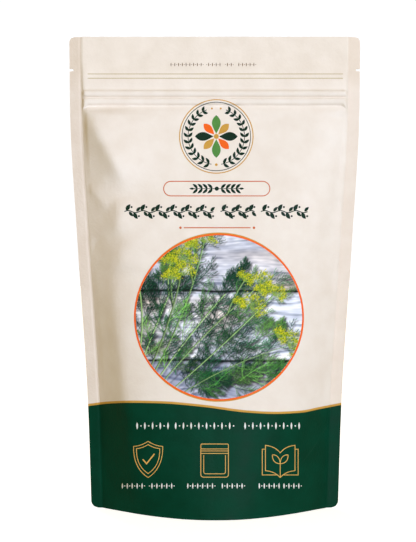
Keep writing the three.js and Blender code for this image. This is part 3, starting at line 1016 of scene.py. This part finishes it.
class Painting:
    """A square of colours, painted with fine strokes in mm from its middle."""

    def __init__(self):
        self.size = round(2 * PAINTING_HALF / PIXEL)
        self.colours = np.zeros((self.size, self.size, 3))
        self.draw = np.random.default_rng(PAINTING_SEED)

    def pixels(self, u, v):
        """The rows and columns of the places in the square."""
        column = ((np.asarray(u) + PAINTING_HALF) / PIXEL).astype(int)
        row = ((np.asarray(v) + PAINTING_HALF) / PIXEL).astype(int)
        inside = (column >= 0) & (column < self.size) & (row >= 0) & (row < self.size)
        return row[inside], column[inside]

    def boards(self):
        """Weathered boards lying across, pale blue-grey, with a dark gap between them."""
        at = (np.arange(self.size) + 0.5) * PIXEL - PAINTING_HALF
        u, v = np.meshgrid(at, at)
        for low, high, tone in zip(BOARD_EDGES[:-1], BOARD_EDGES[1:], BOARD_TONES):
            self.colours[(v >= low) & (v < high)] = tone
        drift = 1.6 * lattice_noise(u, v, 16, 67)

        def streaks(length, width, seed):
            return lattice_noise(u / length, (v + drift) / width, 1, seed)

        grain = streaks(9, 0.42, 61) + 0.7 * streaks(2.6, 0.7, 62)
        cracks = np.clip(streaks(13, 0.9, 68) - 0.35, 0, 1)
        patches = lattice_noise(u, v * 2.4, 9, 63) + 0.6 * lattice_noise(u, v * 1.6, 2.6, 64)
        self.colours += (20 * grain - 130 * cracks + 17 * patches)[..., None] * (1.05, 1, 0.9)
        warm = np.clip(lattice_noise(u / 2.2, v, 7, 66), 0, 1)[..., None]
        self.colours -= warm * (6, 22, 42)
        for edge in BOARD_EDGES[1:-1]:
            gap = np.exp(-((v - edge - 0.35 * lattice_noise(u, 0 * u, 12, 65)) / 0.5) ** 2)
            self.colours *= (1 - 0.88 * gap)[..., None]

    def thread(self, start, heading, length, turn):
        """Points along a thread that curves evenly."""
        steps = max(3, int(length / THREAD_STEP))
        headings = heading + turn * np.linspace(0, 1, steps)
        path = np.cumsum(np.stack([np.cos(headings), np.sin(headings)], -1), axis=0) * length / steps
        return np.asarray(start) + path, headings

    def grow(self, start, heading, length, turn, level, found):
        """A frond: threads that branch on both sides, finer at each level."""
        path, headings = self.thread(start, heading, length, turn)
        found.append(path)
        if level == 0:
            return
        count = BRANCHES_AT_LEVEL[level]
        for n in range(count):
            share = (n + 0.9) / (count + 0.2)
            i = min(int(share * len(path)), len(path) - 1)
            side = 1 if n % 2 == 0 else -1
            lean = side * (0.95 - 0.35 * share) + self.draw.normal(0, 0.18)
            reach = length * (0.58 - 0.3 * share) * self.draw.uniform(0.75, 1.2)
            self.grow(path[i], headings[i] + lean, reach, -side * 0.7, level - 1, found)

    def stroke(self, path, tone, width=1):
        """Lays a tone along a path, one to three pixels wide."""
        for shift in range(width):
            self.colours[self.pixels(path[:, 0] + shift * PIXEL, path[:, 1])] = tone

    def shade(self, paths, shift, strength):
        """A soft shadow under what lies on the boards."""
        mask = np.zeros((self.size, self.size))
        for path in paths:
            mask[self.pixels(path[:, 0] + shift[0], path[:, 1] + shift[1])] = 1
        for _ in range(SHADOW_ROUNDS):
            for axis in (0, 1):
                mask = (mask + np.roll(mask, 1, axis) + np.roll(mask, -1, axis)) / 3
        self.colours *= (1 - strength * np.clip(mask * 1.4, 0, 1))[..., None]

    def spray(self):
        """The fronds, stems and flower heads of a bunch that lies from lower left to upper right."""
        fronds, stems, heads = [], [], []

        def frond(start, heading, length, turn, level):
            fronds.append([])
            self.grow(start, heading, length, turn, level, fronds[-1])

        for n, full_length in enumerate(STEM_LENGTHS):
            share = n / (len(STEM_LENGTHS) - 1)
            start = np.array([-37 + 17 * share, -27 - 11 * share]) + self.draw.normal(0, 1, 2)
            heading = math.radians(74 - 50 * share) + self.draw.normal(0, 0.05)
            length = full_length * self.draw.uniform(0.88, 1)
            turn = (0.3 - 0.6 * share) + self.draw.normal(0, 0.16)
            path, headings = self.thread(start, heading, length, turn)
            stems.append(path)
            for m in range(LEAVES_PER_STEM):
                i = int((0.2 + 0.125 * m) * (len(path) - 1))
                lean = (0.8 - 0.05 * m) * (1 if (m + n) % 2 == 0 else -1)
                size = self.draw.uniform(10, 17) * (0.75 if m < 2 else 1)
                frond(path[i], headings[i] + lean, size, -lean * 0.5, 2)
            if n % 2 == 1 or n in (2, 6):
                heads.append((path[-1], headings[-1], self.draw.uniform(5.5, 7)))
                fork = int(0.72 * len(path))
                side, turned_by = self.thread(path[fork], headings[fork] + 0.5, 0.24 * length, -0.3)
                stems.append(side)
                heads.append((side[-1], turned_by[-1], self.draw.uniform(3, 4.5)))
            else:
                frond(path[-1], headings[-1], self.draw.uniform(11, 17), 0.2, 3)
        for place, degrees, length in LOOSE_FRONDS:
            frond(np.array(place), math.radians(degrees), length, 0.4, 3)
        return fronds, stems, heads

    def paint(self):
        """The whole picture, from the boards to the flower heads."""
        self.boards()
        fronds, stems, heads = self.spray()
        self.shade([path for frond in fronds for path in frond] + stems, (0.7, -0.8), 0.62)
        order = self.draw.permutation(len(fronds))
        for rank, n in enumerate(order):
            tone = np.array(FROND_TONES[rank * 7 % len(FROND_TONES)]) * (0.7 + 0.5 * rank / len(order))
            for path in fronds[n]:
                width = 1 if len(path) < WIDE_FROM_POINTS else 2
                self.stroke(path, tone * self.draw.uniform(0.65, 1.25), width)
            if rank % 9 == 4:
                self.stalk(stems[rank // 9 % len(stems)])
        for path in stems[::3]:
            self.stalk(path)
        for centre, heading, radius in heads:
            self.head(centre, heading, radius)
        return np.clip(128 + CONTRAST * (self.colours - 122), 0, 255)

    def stalk(self, path):
        """A round pale stem: dark on its left, with a bright line."""
        tone = np.array(STALK_TONE) * self.draw.uniform(0.8, 1.12)
        self.stroke(path - (2 * PIXEL, 0), tone * 0.5, 2)
        self.stroke(path, tone, 3)
        self.stroke(path + (PIXEL, 0), tone * 1.3, 1)

    def head(self, centre, heading, radius):
        """A flat flower head: rays that end in clusters of tiny yellow flowers."""
        for n in range(RAYS):
            lean = heading + (n / (RAYS - 1) - 0.5) * 2.7
            reach = radius * self.draw.uniform(0.55, 1.05)
            path, _ = self.thread(centre, lean, reach, self.draw.normal(0, 0.15))
            self.stroke(path, RAY_TONE)
            for _ in range(FLOWERS_PER_RAY):
                spot = path[-1] + self.draw.normal(0, 0.7, 2)
                self.stroke(spot + FLOWER_SHAPE, FLOWER_TONES[self.draw.integers(0, len(FLOWER_TONES))])


def add_picture():
    """The round picture as a thin disc on the film, with its colours on its points."""
    at = np.arange(-PICTURE_RADIUS, PICTURE_RADIUS + PICTURE_CELL, PICTURE_CELL)
    u, v = np.meshgrid(at, at)
    kept = np.hypot(u, v) < PICTURE_RADIUS - PICTURE_EDGE
    corners = cell_corners(np.arange(kept.size).reshape(kept.shape))
    used, top = np.unique(corners[cell_corners(kept).all(-1)], return_inverse=True)
    top = top.reshape(-1, 4)
    total = len(used)
    u, v = u.ravel()[used], v.ravel()[used]
    x, z = on_front(PICTURE[0] + PICTURE_STRETCH * u, PICTURE[1] + v)
    points = film_points(x, z, front_depth, PICTURE_LIFT, -INK_ROOT)
    edges = np.concatenate([top[:, (n, (n + 1) % 4)] for n in range(4)])
    known = {tuple(edge) for edge in edges.tolist()}
    rim = np.array([edge for edge in edges.tolist() if (edge[1], edge[0]) not in known])
    sides = np.stack([rim[:, 1], rim[:, 0], rim[:, 0] + total, rim[:, 1] + total], -1)
    faces = np.concatenate([top, top[:, ::-1] + total, sides])
    piece = add_piece("printed_picture", points, faces, printed_picture)
    painting = Painting()
    painted = painting.paint()
    row, column = painting.pixels(u, v)
    near = [painted[row - i, column - j] for i in (0, 1) for j in (0, 1)]
    rgba = np.concatenate([linear_light(sum(near) / len(near)), np.ones((total, 1))], axis=1)
    attribute = piece.data.attributes.new("painted", "FLOAT_COLOR", "POINT")
    attribute.data.foreach_set("color", np.concatenate([rgba, rgba]).astype(np.float32).ravel())


def add_front_print():
    """Everything printed on the front but the film's own colours."""
    gold, rim, deep, leaf, orange, pale, brown, rust, bright, olive = (Ink() for _ in range(10))
    draw_badge(gold, deep, leaf, orange)
    draw_plate(rust, deep)
    draw_title(deep, rust)
    draw_top(olive, brown)
    wide = PICTURE_STRETCH * PICTURE_RADIUS
    for ink, half, height in ((rim, 0.24, PICTURE_RADIUS + 0.6), (orange, 0.4, PICTURE_RADIUS)):
        ink.band(arc(PICTURE, wide, 0, 360, 181, squeeze=height / wide)[:-1], half, closed=True)
    draw_band_rows(pale)
    draw_shield(bright)
    draw_pouch_icon(bright)
    draw_book(bright)
    add_print("print_gold", gold, "gold", GOLD_LIFT)
    add_print("print_gold_rim", rim, "gold", RIM_LIFT)
    add_print("print_deep_green", deep, "deep_green")
    add_print("print_leaf_green", leaf, "leaf_green")
    add_print("print_orange", orange, "orange", ORANGE_LIFT)
    for name, ink in (("pale", pale), ("brown", brown), ("rust", rust), ("bright_gold", bright)):
        add_print("print_" + name, ink, name)
    add_print("print_olive", olive, "olive_gold")


def add_back_print():
    """The back: gold lines, a garland, a ruled blank panel, and a row in the green band."""
    gold, deep, pale = Ink(), Ink(), Ink()
    for height in (193.6, 191.5):
        gold.line([(-57, height), (57, height)], 0.3)
    gold.line(rounded_box(-40, 40, 60, 150, 4), 0.5, closed=True)
    for n in range(9):
        deep.line([(-34, 140 - 9 * n), (34, 140 - 9 * n)], 0.2)
    draw_garland(deep, -20, 20, 160, 2.6)
    draw_small_row(pale, -34.4, 34.4, 24, 3, 1.72)
    for name, ink in (("gold", gold), ("deep_green", deep), ("pale", pale)):
        add_print("back_print_" + name, ink, name, front=False)


# The studio
WHITE = (1, 1, 1, 1)
SEEN_WHITE = 1.05
SKY_TINT = (1, 0.73, 0.27, 1)
SKY_LOW = 0.69
SKY_HIGH = 0.24
FLOOR_HALF = 8
FLOOR_DROP = 0.0002
FLOOR_GLOW = 0.86
FLOOR_WHITE = (0.9, 0.9, 0.9, 1)
FLOOR_BOUNCE = (0.33, 0.285, 0.175, 1)


def sun(name, towards, strength, softness_degrees, tint):
    """Soft light from one side: towards is the way from the pouch to the light."""
    light = bpy.data.lights.new(name, "SUN")
    light.energy = strength * math.pi
    light.angle = math.radians(softness_degrees)
    light.color = tint
    new_object(name, light).rotation_euler = Vector(towards).to_track_quat("Z", "Y").to_euler()


def make_world():
    """White all round where it is seen, and a soft warm light otherwise, dimmer from high up."""
    world = bpy.data.worlds.new("studio")
    bpy.context.scene.world = world
    nodes = Nodes(world)
    seen = nodes.tree.nodes["Background"]
    nodes.feed(seen.inputs["Color"], WHITE)
    nodes.feed(seen.inputs["Strength"], SEEN_WHITE)
    place = nodes.add("TexCoord").outputs["Generated"]
    upward = nodes.add("SeparateXYZ", {0: place}).outputs["Z"]
    dimmed = nodes.between(upward, 0, 1, SKY_LOW, SKY_HIGH)
    lit = nodes.add("Background", {"Color": SKY_TINT, "Strength": dimmed})
    nodes.seen_or_lit(seen, lit, "World Output")


def make_floor():
    """A plain white floor."""
    mesh = bpy.data.meshes.new("floor")
    corners = [(-1, -1), (1, -1), (1, 1), (-1, 1)]
    mesh.from_pydata([(u * FLOOR_HALF, v * FLOOR_HALF, 0) for u, v in corners], [], [(0, 1, 2, 3)])
    floor = new_object("floor", mesh)
    floor.location.z = -FLOOR_DROP
    material = bpy.data.materials.new("white_ground")
    mesh.materials.append(material)
    nodes = Nodes(material)
    nodes.tree.nodes.remove(nodes.tree.nodes["Principled BSDF"])
    glow = nodes.add("Emission", {"Strength": FLOOR_GLOW})
    white = nodes.add("BsdfDiffuse", {"Color": FLOOR_WHITE})
    seen = nodes.add("AddShader", {0: glow.outputs[0], 1: white.outputs[0]})
    lit = nodes.add("Emission", {"Color": FLOOR_BOUNCE})
    nodes.seen_or_lit(seen, lit, "Material Output")


def make_camera():
    """Straight at the front, a little below half height."""
    camera = new_object("camera", bpy.data.cameras.new("camera"))
    camera.data.sensor_width = SENSOR
    camera.data.lens = LENS
    camera.data.clip_start = CLIP_START
    camera.location = (EYE_X * MM, -EYE_DISTANCE * MM, EYE_Z * MM)
    camera.rotation_euler = (math.pi / 2, 0, 0)
    bpy.context.scene.camera = camera


printed_film = film_material()
green_film = gusset_material()
printed_picture = picture_material()
inks = {name: ink_material(name + "_ink", *tones) for name, tones in INK_TONES.items()}

make_camera()
make_world()
make_floor()
sun("key", towards=(0.342, -0.94, 0.03), strength=1.13, softness_degrees=10, tint=(0.68, 0.785, 1))
sun("behind", towards=(-0.34, 0.92, 0.2), strength=1, softness_degrees=20, tint=(0.68, 0.782, 1))

add_panel("front_film", "front_panel", front_depth, 1)
add_panel("back_film", "back_panel", back_depth, -1)
add_gusset()
add_picture()
add_front_print()
add_back_print()
milky_plastic = zip_material()
inner_finishes = {
    "zip_channel_track": milky_plastic, "zip_rib_track": milky_plastic, "seed_heap": seed_material(),
}
for node, material in inner_finishes.items():
    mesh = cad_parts[node].data
    mesh.materials.clear()
    mesh.materials.append(material)

bpy.context.scene.view_settings.view_transform = "Standard"
